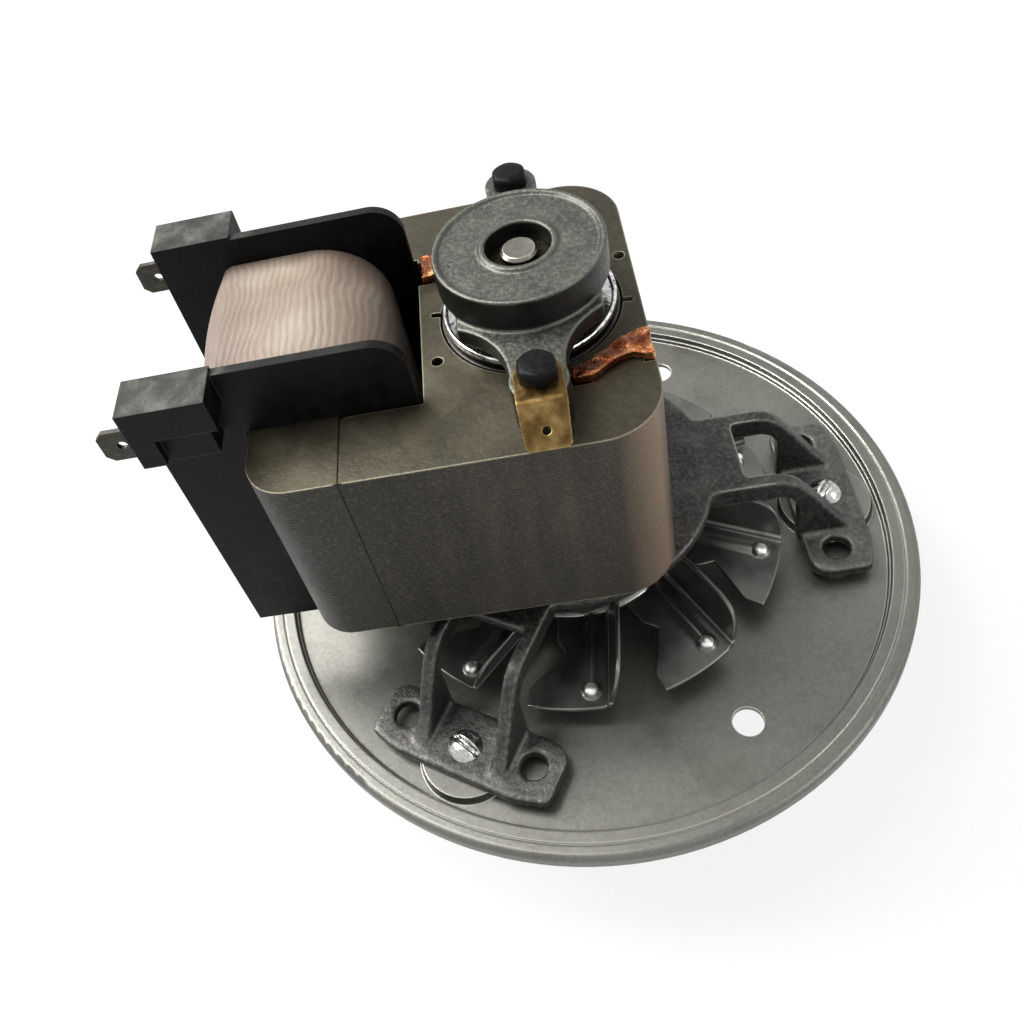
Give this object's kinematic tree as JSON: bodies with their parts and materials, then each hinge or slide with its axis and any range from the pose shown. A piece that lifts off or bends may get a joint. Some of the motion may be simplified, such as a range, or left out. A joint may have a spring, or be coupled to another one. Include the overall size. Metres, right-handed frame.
{
  "type": "oven fan motor",
  "caption": "Shaded-pole motor with a side coil on a tripod bracket above a round flanged mounting plate, with a cooling fan between them and a stepped shaft end below.",
  "frame": {"origin": "on the shaft axis, in the plane of the mounting plate's back face", "axes": "+Z along the shaft away from the drive end, towards the bearing cap; -X towards the coil and its line tabs; -Y towards the earth tab"},
  "size_m": [0.1332, 0.13, 0.1056],
  "materials": {
    "plate_zinc": "galvanised sheet, dull with fine streaks",
    "fan_zinc": "galvanised sheet, fairly bright",
    "cast_alloy_dark": "die-cast, grainy and dark",
    "cast_alloy": "die-cast, grainy, satin",
    "laminations": "varnished electrical sheet, cut edges",
    "bobbin_plastic": "moulded, satin",
    "winding": "copper wire under matt crepe tape",
    "tab_tin": "tin plated, dull",
    "copper": "bare copper, slightly tarnished",
    "earth_brass": "bare brass, slightly tarnished",
    "bolt_black": "black oxide, satin",
    "screw_zinc": "zinc plated, bright",
    "shaft_steel": "ground steel",
    "rotor_steel": "turned laminations",
    "rotor_alloy": "pressure cast, bright",
    "bearing_bronze": "sintered bronze, oiled",
    "felt": "oiled felt",
    "washer_fibre": "fibre, oiled",
    "bush_brass": "turned brass"
  },
  "bodies": {
    "housing": {"mounting_plate": "plate_zinc", "lower_bracket": "cast_alloy_dark", "foot_screws": "screw_zinc", "lower_bearing": "bearing_bronze", "lower_felt": "felt", "lower_retainer": "screw_zinc", "stator_core": "laminations", "coil_bar": "laminations", "bobbin": "bobbin_plastic", "coil_winding": "winding", "line_tab_front": "tab_tin", "line_tab_rear": "tab_tin", "shading_ring_front": "copper", "shading_ring_rear": "copper", "upper_bracket": "cast_alloy", "upper_bearing": "bearing_bronze", "upper_felt": "felt", "upper_retainer": "screw_zinc", "earth_tab": "earth_brass", "front_bolt": "bolt_black", "rear_bolt": "bolt_black"},
    "rotor": {"shaft": "shaft_steel", "rotor_core": "rotor_steel", "rotor_cage": "rotor_alloy", "lower_spacer": "bush_brass", "upper_spacer": "bush_brass", "lower_washer": "washer_fibre", "upper_washer": "washer_fibre", "fan_hub": "bush_brass", "cooling_fan": "fan_zinc", "fan_clip": "screw_zinc"}
  },
  "joints": [
    {"name": "shaft_spin", "type": "hinge", "parent": "housing", "child": "rotor", "pos_m": [0, 0, 0], "axis": [0, 0, 1], "continuous": true}
  ]
}
